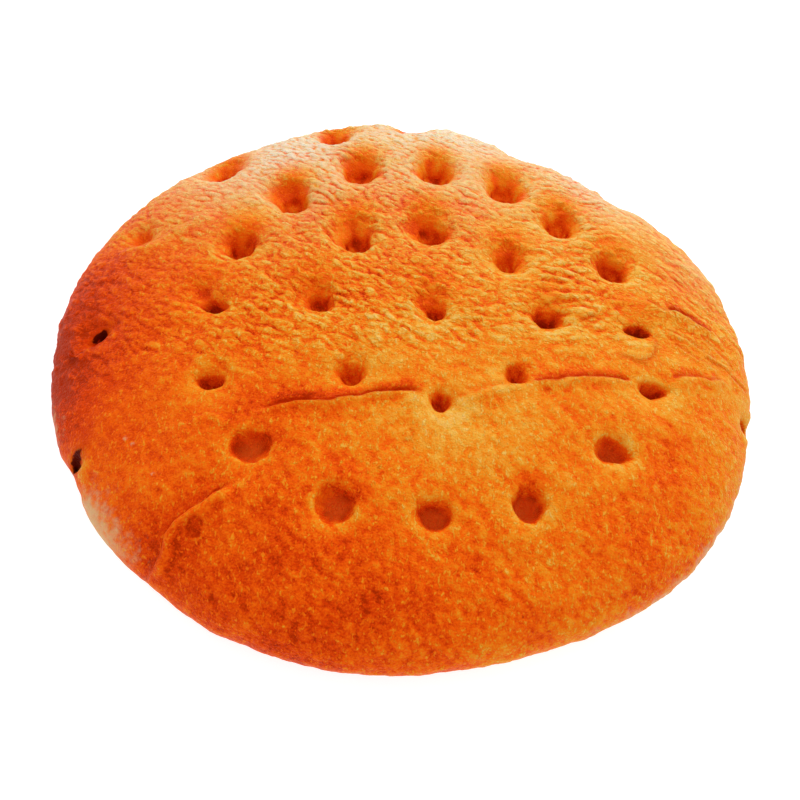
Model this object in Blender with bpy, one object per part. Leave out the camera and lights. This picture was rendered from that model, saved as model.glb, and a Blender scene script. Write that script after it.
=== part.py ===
"""A round docked focaccia: one loaf whose crust a docker has pressed with rings of holes,
with the creases where the dough folded over and tore while it rose."""

import math

import bmesh
import bpy
import numpy as np
from mathutils import Vector
from mathutils.geometry import delaunay_2d_cdt

MM = 0.001

# The loaf: a low dome on a flat base, widest at its belt.
LOAF_RADIUS = 100 * MM
LOAF_HEIGHT = 28 * MM
BELT_HEIGHT = 9 * MM
BASE_INSET = 9 * MM
DOME_POWER = 2.5
# Each lobe of the outline: how many to a turn, how far it stands out, and its bearing in degrees.
OUTLINE_LOBES = (
    (2, 2.4 * MM, -16),
    (3, 1.1 * MM, -12),
    (4, 0.7 * MM, 6),
    (5, 1.0 * MM, 25),
    (6, 0.5 * MM, 26),
)

# The docker: rings of pins about a centre that sits a little off the middle of the loaf.
# Each ring: its radius, and the bearing in degrees of its first pin. The pins run clockwise.
DOCKER_CENTRE = Vector((7.7, -4.8)) * MM
MIDDLE_PIN = (0 * MM, 0)
INNER_RING = (31.3 * MM, 182)
OUTER_RING = (61.4 * MM, 183)
SHOULDER_RING = (96.4 * MM, 183)
PIN_DEPTH = 9
# What each pin left, in millimetres: how far the mark has crept outwards and sideways while
# the dough rose, how wide its mouth is, and how deep it stayed. None is a pin that missed the loaf.
MIDDLE_MARKS = ((1.0, -1.0, 6.2, PIN_DEPTH),)
INNER_MARKS = (
    (0.2, -1.2, 6.9, PIN_DEPTH),
    (3.0, -2.4, 8.2, PIN_DEPTH),
    (0.2, -0.1, 8.6, PIN_DEPTH),
    (-1.0, -1.7, 7.0, PIN_DEPTH),
    (1.1, -1.0, 6.6, PIN_DEPTH),
    (-1.4, 0.5, 6.0, PIN_DEPTH),
    (-0.9, 1.9, 6.0, PIN_DEPTH),
    (-0.2, 1.1, 7.2, PIN_DEPTH),
)
OUTER_MARKS = (
    (-0.8, -0.6, 6.0, PIN_DEPTH),
    (0.4, -0.2, 8.2, PIN_DEPTH),
    (0.8, -1.5, 10.4, PIN_DEPTH),
    (4.0, -2.6, 9.8, PIN_DEPTH),
    (1.1, -2.6, 10.2, PIN_DEPTH),
    (0.3, -1.9, 9.6, PIN_DEPTH),
    (-3.6, -1.1, 8.4, PIN_DEPTH),
    (-1.8, -1.8, 8.2, PIN_DEPTH),
    (-3.2, -2.7, 6.0, PIN_DEPTH),
    (1.5, 1.7, 7.3, PIN_DEPTH),
    (-0.6, 2.2, 7.4, PIN_DEPTH),
    (-0.6, -1.5, 8.2, PIN_DEPTH),
    (-1.1, -0.6, 8.5, PIN_DEPTH),
    (1.1, 0.2, 9.8, PIN_DEPTH),
    (1.2, -1.6, 8.5, PIN_DEPTH),
    (1.6, 0.9, 6.6, PIN_DEPTH),
)
SHOULDER_MARKS = (
    (-3.8, 7.0, 5.0, 4),
    (-1.1, 3.3, 7.0, 2),
    (-1.0, 2.5, 7.2, 7),
    (-2.5, -3.4, 7.2, 7),
    (0.5, 5.5, 7.0, 6),
    (-1.0, 0.0, 7.0, 3),
    (-3.5, -4.0, 7.0, 3),
    None,
    None,
    (-5.1, 8.4, 5.0, 6),
    None,
    None,
    None,
    None,
    None,
    (3.8, 7.1, 6.5, 7),
)

# Each hole sits in a soft hollow, deeper towards the back of the loaf, where the dough was slacker.
HOLLOW_SPREAD = 2.6
HOLLOW_REACH = 1.3
SKIN_BEHIND = 2.5 * MM
HOLLOW_DEPTH_MIDDLE = 1.8 * MM
HOLLOW_DEPTH_PER_METRE = 0.018
# Rings of points round a hole, as shares of its mouth's radius, and the points on each.
HOLE_RINGS = ((1.9, 10), (1.35, 14), (1.0, 16), (0.78, 14), (0.45, 8))
WALL_FOOT = 0.6
FLOOR_ROUNDING = 0.25

# Creases, in millimetres seen from above: points along the line, left to right, then how high
# the near lip stands over it, how far the lip runs out, how deep the far side is cut, and how wide.
LONG_TEAR = ((-37, -42), (-27, -38), (-14, -36), (-3, -33), (8, -34.5))
MIDDLE_TEAR = ((13, -34), (23, -30), (34, -26.5), (48, -23.5), (63, -22))
EDGE_TEAR = ((72, -20), (80, -17.5), (92, -14.5))
SHOULDER_TEAR = ((69, 6.5), (76, 4.5), (83, 4), (92, 1))
FOLDED_EDGE = ((-57, -84), (-53, -77), (-51, -70), (-45, -65.5), (-36, -60))
CREASES = (
    (LONG_TEAR, 1.0, 7.0, 0.7, 1.2),
    (MIDDLE_TEAR, 0.9, 7.0, 0.6, 1.2),
    (EDGE_TEAR, 0.8, 6.0, 0.5, 1.2),
    (SHOULDER_TEAR, 0.7, 6.0, 0.6, 1.2),
    (FOLDED_EDGE, 1.2, 9.0, 1.3, 6.0),
)
CREASE_ROWS = (-3.2, -1.2, -0.3, 0.3, 1.4, 3.6)
CREASE_STEP = 3.4 * MM
CREASE_END_SHARE = 0.15

# The skin between the holes and creases: rings of points, closer over the shoulder and side.
FIELD_STEP = 5.2 * MM
SHOULDER_STEP = 3.0 * MM
SHOULDER_SHARE = 0.86
KEEP_CLEAR = 2.2 * MM

CRUST_COLOUR = (0.72, 0.22, 0.03, 1)
CRUST_ROUGHNESS = 0.55


def clear_scene():
    for thing in list(bpy.data.objects):
        bpy.data.objects.remove(thing)


def make_profile():
    """Radius and height along the crust, from the middle of the top over the belt to the base,
    with the length of crust up to each point."""
    steps = 240
    rise = LOAF_HEIGHT - BELT_HEIGHT
    radius = []
    height = []
    for step in range(steps + 1):
        share = math.sin(step / steps * math.pi / 2)
        radius.append(LOAF_RADIUS * share)
        height.append(BELT_HEIGHT + rise * math.sqrt(max(0, 1 - share**DOME_POWER)))
    for step in range(1, steps + 1):
        turn = step / steps * math.pi / 2
        radius.append(LOAF_RADIUS - BASE_INSET * (1 - math.cos(turn)))
        height.append(BELT_HEIGHT * (1 - math.sin(turn)))
    lengths = np.hypot(np.diff(radius), np.diff(height))
    along = np.concatenate(([0], np.cumsum(lengths)))
    return np.array(radius), np.array(height), along, steps


PROFILE_RADIUS, PROFILE_HEIGHT, PROFILE_ALONG, BELT_INDEX = make_profile()
SKIN_LENGTH = float(PROFILE_ALONG[-1])


def outline(bearing):
    """The loaf's outline at a bearing, as a share of its mean radius."""
    swell = 0
    for lobes, reach, lobe_bearing in OUTLINE_LOBES:
        swell += reach * math.cos(lobes * (bearing - math.radians(lobe_bearing)))
    return 1 + swell / LOAF_RADIUS


def wrap(flat):
    """A point of the flat skin, laid on the loaf. Distance from the middle is length of crust."""
    bearing = math.atan2(flat.y, flat.x)
    radius = np.interp(flat.length, PROFILE_ALONG, PROFILE_RADIUS) * outline(bearing)
    height = np.interp(flat.length, PROFILE_ALONG, PROFILE_HEIGHT)
    return Vector((radius * math.cos(bearing), radius * math.sin(bearing), height))


def flatten(plan):
    """A point seen from above, as a point of the flat skin."""
    bearing = math.atan2(plan.y, plan.x)
    radius = plan.length / outline(bearing)
    top = slice(0, BELT_INDEX + 1)
    along = float(np.interp(radius, PROFILE_RADIUS[top], PROFILE_ALONG[top]))
    return Vector((along * math.cos(bearing), along * math.sin(bearing)))


def skin_normal(flat):
    step = 0.5 * MM
    across = wrap(flat + Vector((step, 0))) - wrap(flat - Vector((step, 0)))
    onward = wrap(flat + Vector((0, step))) - wrap(flat - Vector((0, step)))
    return across.cross(onward).normalized()


def make_hole(ring, index, count, mark):
    """One pin's hole: its place on the flat skin and on the loaf, its way in, and its sizes."""
    ring_radius, first_bearing = ring
    creep_out, creep_round, mouth, depth = mark
    bearing = math.radians(first_bearing - index * 360 / count)
    outward = Vector((math.cos(bearing), math.sin(bearing)))
    sideways = Vector((-outward.y, outward.x))
    plan = DOCKER_CENTRE + outward * (ring_radius + creep_out * MM) + sideways * creep_round * MM
    flat = flatten(plan)
    way_in = -(skin_normal(flat) + Vector((0, 0, 1))).normalized()
    return {
        "flat": flat,
        "top": wrap(flat),
        "way_in": way_in,
        "mouth": mouth / 2 * MM,
        "depth": depth * MM,
        "hollow": HOLLOW_DEPTH_MIDDLE + HOLLOW_DEPTH_PER_METRE * plan.y,
    }


def make_holes():
    holes = []
    rings = (
        (MIDDLE_PIN, MIDDLE_MARKS),
        (INNER_RING, INNER_MARKS),
        (OUTER_RING, OUTER_MARKS),
        (SHOULDER_RING, SHOULDER_MARKS),
    )
    for ring, marks in rings:
        for index, mark in enumerate(marks):
            if mark:
                holes.append(make_hole(ring, index, len(marks), mark))
    return holes


def smooth_step(share):
    share = min(max(share, 0), 1)
    return share * share * (3 - 2 * share)


def hole_push(hole, away):
    """How far a point at this distance from a hole's middle is pushed in."""
    hollow = hole["hollow"] * (1 - smooth_step(away / (hole["mouth"] * HOLLOW_SPREAD)))
    foot = hole["mouth"] * WALL_FOOT
    wall = 1 - smooth_step((away - foot) / (hole["mouth"] - foot))
    floor = FLOOR_ROUNDING * min(away / foot, 1) ** 2
    return hollow + hole["depth"] * wall * (1 - floor)


def press_holes(point, holes):
    moved = point.copy()
    for hole in holes:
        offset = point - hole["top"]
        sunk = offset.dot(hole["way_in"])
        if offset.length > hole["mouth"] * HOLLOW_SPREAD * HOLLOW_REACH or sunk > SKIN_BEHIND:
            continue
        away = (offset - hole["way_in"] * sunk).length
        moved += hole["way_in"] * hole_push(hole, away)
    return moved


def nearest_on_line(point, line):
    """Signed distance to a line of points, positive on its near side, and the share along it."""
    best = None
    count = len(line) - 1
    for index in range(count):
        start = line[index]
        run = line[index + 1] - start
        share = min(max((point - start).dot(run) / run.length_squared, 0), 1)
        gap = point - (start + run * share)
        side = -1 if run.cross(gap) > 0 else 1
        if best is None or gap.length < abs(best[0]):
            best = (side * gap.length, (index + share) / count)
    return best


def crease_lift(flat, creases):
    """How far a crease raises or cuts the skin at a point of the flat skin."""
    lift = 0
    for line, lip, spread, cut, cut_width in creases:
        away, share = nearest_on_line(flat, line)
        strength = min(1, 4 * share * (1 - share) + CREASE_END_SHARE)
        if away >= 0:
            lift += strength * lip * math.exp(-((2 * away / spread) ** 2))
        else:
            lift -= strength * cut * max(0, 1 + away / cut_width)
    return lift


def make_creases():
    creases = []
    for points, *sizes in CREASES:
        line = [flatten(Vector(point) * MM) for point in points]
        creases.append((line, *(size * MM for size in sizes)))
    return creases


def hole_points(hole):
    points = [hole["flat"].copy()]
    for share, count in HOLE_RINGS:
        for index in range(count):
            turn = index / count * math.tau
            arm = Vector((math.cos(turn), math.sin(turn)))
            points.append(hole["flat"] + arm * hole["mouth"] * share)
    return points


def crease_points(line):
    """Rows of points along a crease, on both sides of it."""
    points = []
    for start, end in zip(line, line[1:]):
        run = end - start
        near_side = Vector((run.y, -run.x)).normalized()
        steps = max(1, round(run.length / CREASE_STEP))
        for step in range(steps):
            middle = start + run * (step + 0.5) / steps
            for row in CREASE_ROWS:
                points.append(middle + near_side * row * MM)
    return points


def ring_lengths():
    """Lengths of crust at which the field's rings of points lie, out to the base's edge."""
    shoulder = SHOULDER_SHARE * float(PROFILE_ALONG[BELT_INDEX])
    inner_count = round(shoulder / FIELD_STEP)
    outer_count = round((SKIN_LENGTH - shoulder) / SHOULDER_STEP)
    inner = [shoulder * (index + 1) / inner_count for index in range(inner_count)]
    outer = [shoulder + (SKIN_LENGTH - shoulder) * (index + 1) / outer_count for index in range(outer_count)]
    return inner + outer


def is_clear(point, others, distance):
    return all((point - other).length > distance for other in others)


def skin_points(holes, creases):
    """Every point of the flat skin: the holes' rings first, then the creases' rows, then the field."""
    points = []
    for hole in holes:
        for point in hole_points(hole):
            in_other = any(
                other is not hole and (point - other["flat"]).length < other["mouth"] * 1.4
                for other in holes
            )
            if not in_other and point.length < SKIN_LENGTH - KEEP_CLEAR:
                points.append(point)
    for line, *_sizes in creases:
        for point in crease_points(line):
            outside_holes = all((point - hole["flat"]).length > hole["mouth"] * 1.5 for hole in holes)
            if outside_holes and point.length < SKIN_LENGTH - KEEP_CLEAR:
                points.append(point)
    detail = list(points)
    lengths = ring_lengths()
    for index, length in enumerate(lengths):
        count = round(math.tau * length / FIELD_STEP)
        for step in range(count):
            turn = (step + 0.5 * (index % 2)) / count * math.tau
            point = Vector((math.cos(turn), math.sin(turn))) * length
            if length == lengths[-1] or is_clear(point, detail, KEEP_CLEAR):
                points.append(point)
    return points


def make_loaf(name, holes, creases):
    """The loaf as one closed skin: the flat skin is split into triangles, wrapped, pressed and closed."""
    flat_points = skin_points(holes, creases)
    output_type = 0
    flat_points, _edges, faces, *_origins = delaunay_2d_cdt(flat_points, [], [], output_type, 1e-7)
    shape = bmesh.new()
    for flat in flat_points:
        point = wrap(flat)
        raised = point + skin_normal(flat) * crease_lift(flat, creases)
        raised.z = max(raised.z, 0)
        if flat.length < SKIN_LENGTH - KEEP_CLEAR:
            raised = press_holes(raised, holes)
        shape.verts.new(raised)
    shape.verts.ensure_lookup_table()
    for face in faces:
        shape.faces.new([shape.verts[corner] for corner in face])
    rim = [edge for edge in shape.edges if edge.is_boundary]
    bmesh.ops.contextual_create(shape, geom=rim)
    bmesh.ops.recalc_face_normals(shape, faces=shape.faces)
    centre_over_origin(shape)
    mesh = bpy.data.meshes.new(name)
    shape.to_mesh(mesh)
    shape.free()
    mesh.shade_smooth()
    mesh.set_sharp_from_angle(angle=math.radians(50))
    loaf = bpy.data.objects.new(name, mesh)
    bpy.context.scene.collection.objects.link(loaf)
    return loaf


def centre_over_origin(shape):
    """Moves the shape so that the middle of its outline, seen from above, is the origin."""
    lowest = Vector((min(vert.co.x for vert in shape.verts), min(vert.co.y for vert in shape.verts), 0))
    highest = Vector((max(vert.co.x for vert in shape.verts), max(vert.co.y for vert in shape.verts), 0))
    middle = (lowest + highest) / 2
    bmesh.ops.translate(shape, verts=shape.verts, vec=-middle)
    print("the outline's middle was at", [round(value / MM, 2) for value in middle], "mm")


def make_crust_material():
    material = bpy.data.materials.new("crust")
    material.use_nodes = True
    shader = material.node_tree.nodes["Principled BSDF"]
    shader.inputs["Base Color"].default_value = CRUST_COLOUR
    shader.inputs["Roughness"].default_value = CRUST_ROUGHNESS
    shader.inputs["Metallic"].default_value = 0
    return material


clear_scene()
focaccia = make_loaf("focaccia", make_holes(), make_creases())
focaccia.data.materials.append(make_crust_material())
print("focaccia:", len(focaccia.data.vertices), "points,", len(focaccia.data.polygons), "faces")
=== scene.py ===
# %% [markdown]
# # A round docked focaccia
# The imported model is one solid: a low domed loaf on a flat base, pressed with rings of holes and
# creased across the top. This lesson turns that solid into bread: a crust with wrinkles, blisters,
# torn creases and browning. The first cell loads the solid as a fixed frame, and keeps its box,
# because the finished loaf may not grow out of it.

# %% Load the frame
import math

import bpy
import numpy as np
from mathutils import Matrix, Quaternion, Vector, noise
from mathutils.bvhtree import BVHTree


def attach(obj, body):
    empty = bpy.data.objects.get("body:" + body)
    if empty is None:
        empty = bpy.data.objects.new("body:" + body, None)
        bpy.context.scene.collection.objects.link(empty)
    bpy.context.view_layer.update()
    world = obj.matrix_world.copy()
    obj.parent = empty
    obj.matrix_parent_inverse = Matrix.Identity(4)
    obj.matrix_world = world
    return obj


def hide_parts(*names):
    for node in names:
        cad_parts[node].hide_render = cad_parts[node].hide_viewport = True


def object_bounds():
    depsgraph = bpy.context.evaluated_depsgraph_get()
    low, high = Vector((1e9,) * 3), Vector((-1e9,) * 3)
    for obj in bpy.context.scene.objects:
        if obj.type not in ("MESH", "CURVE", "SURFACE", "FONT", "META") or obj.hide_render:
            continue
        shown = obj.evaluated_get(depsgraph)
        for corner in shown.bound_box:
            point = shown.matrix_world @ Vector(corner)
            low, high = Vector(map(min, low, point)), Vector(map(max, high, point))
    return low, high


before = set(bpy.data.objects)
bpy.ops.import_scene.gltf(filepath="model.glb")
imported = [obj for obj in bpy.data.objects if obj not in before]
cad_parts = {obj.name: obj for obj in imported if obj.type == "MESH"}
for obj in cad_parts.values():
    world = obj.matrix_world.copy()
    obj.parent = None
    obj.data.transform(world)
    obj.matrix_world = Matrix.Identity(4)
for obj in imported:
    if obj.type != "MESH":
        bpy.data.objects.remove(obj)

MM = 0.001
cad_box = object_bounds()
print("the loaf's solid spans", [round(value / MM, 1) for value in cad_box[1]], "mm at most")

# %% [markdown]
# The camera looks down on the loaf from close by, as one would hold a phone over a table, so the
# near edge is drawn larger than the far one. It could be turned with three angles, but a place, a
# point to look at and a small tilt are easier to read and to change.

# %% Camera
CAMERA_PLACE = Vector((-0.3, -134.2, 169.2)) * MM
CAMERA_AIM = Vector((0.1, -28.7, 14.0)) * MM
CAMERA_TILT = math.radians(4.3)
CAMERA_LENS = 30.9

camera = bpy.data.objects.new("camera", bpy.data.cameras.new("camera"))
bpy.context.scene.collection.objects.link(camera)
camera.data.lens = CAMERA_LENS
camera.data.clip_start = 10 * MM
camera.location = CAMERA_PLACE
camera.rotation_mode = "QUATERNION"
level_view = (CAMERA_AIM - CAMERA_PLACE).to_track_quat("-Z", "Y")
camera.rotation_quaternion = level_view @ Quaternion((0, 0, 1), CAMERA_TILT)
bpy.context.scene.camera = camera
print("the camera is", round((CAMERA_AIM - CAMERA_PLACE).length / MM), "mm from the loaf")

# %% [markdown]
# A studio would light bread from behind: a wide soft lamp that skims the crust shows every wrinkle
# and makes the far side the brightest, while a white room fills the shadows. A sun lamp would do
# the first job too, but its shadows are hard. The colours are shown with the Standard view, because
# the filmic ones wash out a deep orange.

# %% Light
KEY_PLACE = Vector((190, 570, 450)) * MM
KEY_SIZE = 380 * MM
KEY_POWER = 2.62
KEY_COLOUR = (1.0, 0.98, 0.94)
ROOM_LIGHT = 0.88

key = bpy.data.objects.new("key_lamp", bpy.data.lights.new("key_lamp", "AREA"))
bpy.context.scene.collection.objects.link(key)
key.data.shape = "DISK"
key.data.size = KEY_SIZE
key.data.energy = KEY_POWER
key.data.color = KEY_COLOUR
key.location = KEY_PLACE
key.rotation_mode = "QUATERNION"
key.rotation_quaternion = (-KEY_PLACE).to_track_quat("-Z", "Y")

room = bpy.data.worlds.new("white_room")
room.use_nodes = True
room.node_tree.nodes["Background"].inputs["Color"].default_value = (1, 1, 1, 1)
room.node_tree.nodes["Background"].inputs["Strength"].default_value = ROOM_LIGHT
bpy.context.scene.world = room
bpy.context.scene.view_settings.view_transform = "Standard"

# %% [markdown]
# Every piece is shaped by operators, which act on what is selected. So one helper selects a single
# piece, one makes a copy to work on, and one adds a modifier with its settings and applies it at
# once. Three more read a piece's points and normals and put its points back, for the moves that no
# operator makes, and the last three give smooth steps, blends and random numbers.

# %% Helpers for shaping
def select_only(piece):
    bpy.ops.object.select_all(action="DESELECT")
    piece.select_set(True)
    bpy.context.view_layer.objects.active = piece


def linked_copy(piece):
    duplicate = piece.copy()
    duplicate.data = piece.data.copy()
    bpy.context.scene.collection.objects.link(duplicate)
    return duplicate


def apply_modifier(piece, kind, **settings):
    modifier = piece.modifiers.new(kind.lower(), kind)
    for name, value in settings.items():
        setattr(modifier, name, value)
    select_only(piece)
    bpy.ops.object.modifier_apply(modifier=modifier.name)


def points_of(piece):
    flat = np.empty(len(piece.data.vertices) * 3)
    piece.data.vertices.foreach_get("co", flat)
    return flat.reshape(-1, 3)


def normals_of(piece):
    flat = np.empty(len(piece.data.vertices) * 3)
    piece.data.vertex_normals.foreach_get("vector", flat)
    return flat.reshape(-1, 3)


def move_points(piece, points):
    piece.data.vertices.foreach_set("co", np.ascontiguousarray(points).ravel())
    piece.data.update()


def smooth_step(low, high, values):
    share = np.clip((values - low) / (high - low), 0, 1)
    return share * share * (3 - 2 * share)


def blend(start, end, share):
    return start + (end - start) * share


def noise_at(places, size):
    """One smooth random number, about -1 to 1, for each place, with lumps of this size."""
    return np.array([noise.noise(Vector(place)) for place in places / size])

# %% [markdown]
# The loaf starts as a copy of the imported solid, so that every hole and crease stays in its place.
# The copy is merged, rounded by a subdivision, and given one even skin of small faces by a voxel
# remesh. A skin modelled by hand would follow the wrinkles better, but an even one takes any relief.

# %% The loaf's skin
SKIN_FACE = 0.62 * MM
MERGE_DISTANCE = 0.01 * MM

loaf = linked_copy(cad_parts["focaccia"])
loaf.name = "focaccia_loaf"
loaf.parent = None
for property_name in list(loaf.keys()):
    del loaf[property_name]
select_only(loaf)
bpy.ops.object.mode_set(mode="EDIT")
bpy.ops.mesh.select_all(action="SELECT")
bpy.ops.mesh.remove_doubles(threshold=MERGE_DISTANCE)
bpy.ops.object.mode_set(mode="OBJECT")
apply_modifier(loaf, "SUBSURF", levels=1, render_levels=1)
apply_modifier(loaf, "REMESH", mode="VOXEL", voxel_size=SKIN_FACE)
apply_modifier(loaf, "SMOOTH", factor=0.5, iterations=3)
print("the skin has", len(loaf.data.polygons), "faces")

# %% [markdown]
# The base is flat and needs no small faces. A decimate modifier with a vertex group thins the skin
# there and leaves the crust alone, which keeps the whole loaf light enough for the library.

# %% Fewer faces on the base
BASE_SKIN = 1.2 * MM
BASE_THINNED = 0.95
GROUP_LEVELS = 20
ONLY_THE_GROUP = 1000


def paint_group(piece, name, weights):
    group = piece.vertex_groups.new(name=name)
    levels = np.round(np.clip(weights, 0, 1) * GROUP_LEVELS).astype(int)
    for level in range(1, GROUP_LEVELS + 1):
        chosen = np.flatnonzero(levels == level).tolist()
        if chosen:
            group.add(chosen, level / GROUP_LEVELS, "REPLACE")
    return name


base_skin = paint_group(loaf, "base_skin", points_of(loaf)[:, 2] < BASE_SKIN)
faces_before = len(loaf.data.polygons)
base_share = np.mean(points_of(loaf)[:, 2] < BASE_SKIN)
apply_modifier(
    loaf,
    "DECIMATE",
    decimate_type="COLLAPSE",
    ratio=1 - BASE_THINNED * base_share,
    vertex_group=base_skin,
    vertex_group_factor=ONLY_THE_GROUP,
)
print("the base thinned the skin from", faces_before, "to", len(loaf.data.polygons), "faces")

# %% [markdown]
# The crust is torn in places: where the dough rose faster than its skin could stretch, one side
# slid under the other and left a crease with a raised lip, and the crease is painted dark as
# painted shade. Each tear is a curve through a few points, with the height of its lip, the depth
# of its cut, how wide the lip is, and how dark its painted shade is. The lip stands on the right
# of the curve, seen along it, where lip_side is -1.

# %% The tears and folds
TEARS = {
    "long tear": {
        "points": ((-34.2, -41.9), (-27.5, -39.5), (-23.3, -39.0), (-18.3, -39.0), (-14.9, -37.8),
                   (-11.3, -36.7), (-6.8, -35.5), (-3.9, -34.9), (0.9, -33.9), (3.7, -33.9), (6.3, -34.9)),
        "lip": 0.5, "cut": 0.8, "lip_width": 1.1, "lip_side": -1, "crease_shade": 1.0,
    },
    "middle tear": {
        "points": ((12.9, -35.8), (21.2, -32.5), (25.9, -30.4), (32.5, -28.5), (35.6, -27.8)),
        "lip": 0.4, "cut": 0.15, "lip_width": 1.4, "lip_side": -1, "crease_shade": 0.15,
    },
    "right tear": {
        "points": ((33.5, -28.4), (39.4, -27.0), (47.0, -25.2), (54.1, -24.3), (61.4, -23.7)),
        "lip": 0.45, "cut": 0.5, "lip_width": 1.2, "lip_side": -1, "crease_shade": 0.8,
    },
    "edge tear": {
        "points": ((72.7, -21.4), (75.3, -20.2), (79.1, -18.9), (82.8, -18.6), (85.3, -18.8),
                   (88.9, -16.7)),
        "lip": 0.4, "cut": 0.35, "lip_width": 1.2, "lip_side": -1, "crease_shade": 0.5,
    },
    "right crack": {
        "points": ((75.6, 3.6), (77.3, 4.4), (81.3, 3.4), (84.8, 1.4), (89.5, -0.3)),
        "lip": 0.6, "cut": 0.7, "lip_width": 2.0, "lip_side": -1, "crease_shade": 1.0,
    },
    "crack's notch": {
        "points": ((69.4, 6.4), (72.0, 4.6), (74.0, 2.6), (76.0, 3.4)),
        "lip": 0.3, "cut": 0.3, "lip_width": 1.0, "lip_side": -1, "crease_shade": 0.4,
    },
    "flake step": {
        "points": ((69.0, -6.8), (70.0, -8.6), (70.0, -10.4), (68.6, -13.8), (65.9, -16.7),
                   (63.6, -17.4), (60.8, -16.4), (57.6, -15.8)),
        "lip": 0.15, "cut": 0.15, "lip_width": 0.7, "lip_side": -1, "crease_shade": 0.35,
    },
    "first rim wrinkle": {
        "points": ((75.4, -8.3), (79.3, -10.5), (83.4, -12.4), (87.5, -14.4)),
        "lip": 0.25, "cut": 0.15, "lip_width": 0.9, "lip_side": -1, "crease_shade": 0.2,
    },
    "second rim wrinkle": {
        "points": ((74.0, -3.6), (79.0, -5.4), (84.0, -8.0), (89.0, -11.2)),
        "lip": 0.25, "cut": 0.15, "lip_width": 0.9, "lip_side": -1, "crease_shade": 0.2,
    },
    "third rim wrinkle": {
        "points": ((84.6, -2.8), (88.0, -5.6), (91.4, -8.6), (95.0, -11.9)),
        "lip": 0.25, "cut": 0.15, "lip_width": 0.9, "lip_side": -1, "crease_shade": 0.2,
    },
    "small flake": {
        "points": ((47.7, -6.1), (52.5, -3.4), (53.9, -1.0)),
        "lip": 0.3, "cut": 0.3, "lip_width": 0.8, "lip_side": 1, "crease_shade": 0.2,
    },
    "rim fold": {
        "points": ((84.0, -10.6), (86.7, -11.7), (89.8, -12.7), (93.5, -14.9), (96.1, -16.7),
                   (98.7, -17.1)),
        "lip": 0.35, "cut": 0.15, "lip_width": 0.8, "lip_side": 1, "crease_shade": 0.3,
    },
    "front fold": {
        "points": ((-55.0, -82.0), (-53.0, -78.7), (-52.4, -74.8), (-51.0, -71.3), (-48.1, -68.9),
                   (-43.8, -66.3), (-42.2, -64.2), (-38.4, -61.7)),
        "lip": 0.9, "cut": 0.5, "lip_width": 1.6, "lip_side": -1, "crease_shade": 0.2,
    },
    "back fold": {
        "points": ((-87.9, 18.2), (-78.0, 17.5), (-73.4, 21.5), (-68.0, 26.3), (-62.5, 31.0)),
        "lip": 0.9, "cut": 0.15, "lip_width": 3.0, "lip_side": -1, "crease_shade": 0.1,
    },
    "pale arc": {
        "points": ((-51.3, -44.8), (-46.2, -43.7), (-40.9, -46.1)),
        "lip": 0.5, "cut": 0.1, "lip_width": 1.2, "lip_side": -1, "crease_shade": 0.0,
    },
    "small curl": {
        "points": ((1.2, -49.2), (3.1, -48.1), (3.6, -46.4), (2.6, -45.4)),
        "lip": 0.2, "cut": 0.15, "lip_width": 0.7, "lip_side": 1, "crease_shade": 0.1,
    },
    "burst blister": {
        "points": ((-43.4, -72.6), (-43.9, -71.0), (-45.2, -70.5), (-46.5, -71.3), (-46.7, -72.9),
                   (-45.8, -74.1), (-44.3, -74.0), (-43.4, -72.6)),
        "lip": 0.3, "cut": 0.3, "lip_width": 0.6, "lip_side": -1, "crease_shade": 0.3,
    },
}
PATH_STEP = 0.5 * MM


def smooth_path(points):
    """A curve that passes through each of the points, as a row of places one step apart."""
    corners = [points[0], *points, points[-1]]
    path = []
    for before, start, end, after in zip(corners, corners[1:], corners[2:], corners[3:]):
        before, start, end, after = (np.array(corner) * MM for corner in (before, start, end, after))
        count = max(2, round(np.linalg.norm(end - start) / PATH_STEP))
        for share in np.arange(count) / count:
            turn = (2 * start + (end - before) * share
                    + (2 * before - 5 * start + 4 * end - after) * share ** 2
                    + (3 * start - before - 3 * end + after) * share ** 3)
            path.append(turn / 2)
    return np.array(path + [np.array(points[-1]) * MM])


def along_path(spots, path, reach):
    """How far each point is to the left of the path, and what share of the path it has passed."""
    near = (spots[:, :2] > path.min(axis=0) - reach).all(axis=1)
    near &= (spots[:, :2] < path.max(axis=0) + reach).all(axis=1)
    near &= spots[:, 2] > BASE_SKIN
    chosen = np.flatnonzero(near)
    gaps = spots[chosen, None, :2] - path[None]
    closest = np.linalg.norm(gaps, axis=2).argmin(axis=1)
    ahead = np.gradient(path, axis=0)
    ahead /= np.linalg.norm(ahead, axis=1)[:, None]
    gap = gaps[np.arange(len(chosen)), closest]
    side = ahead[closest, 0] * gap[:, 1] - ahead[closest, 1] * gap[:, 0]
    past_end = np.abs((ahead[closest] * gap).sum(axis=1)) > 2 * PATH_STEP
    far = past_end | (np.abs(side) > reach)
    return chosen[~far], side[~far], closest[~far] / (len(path) - 1)


tear_paths = {name: smooth_path(tear["points"]) for name, tear in TEARS.items()}
print(len(tear_paths), "tears, the longest with", max(len(path) for path in tear_paths.values()), "places")

# %% [markdown]
# A tear is finer than the skin's faces, so the faces along it are subdivided once more. Making the
# whole skin that fine would need four times as many faces.

# %% Finer skin along the tears
FINE_BAND = 2.2 * MM

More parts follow.
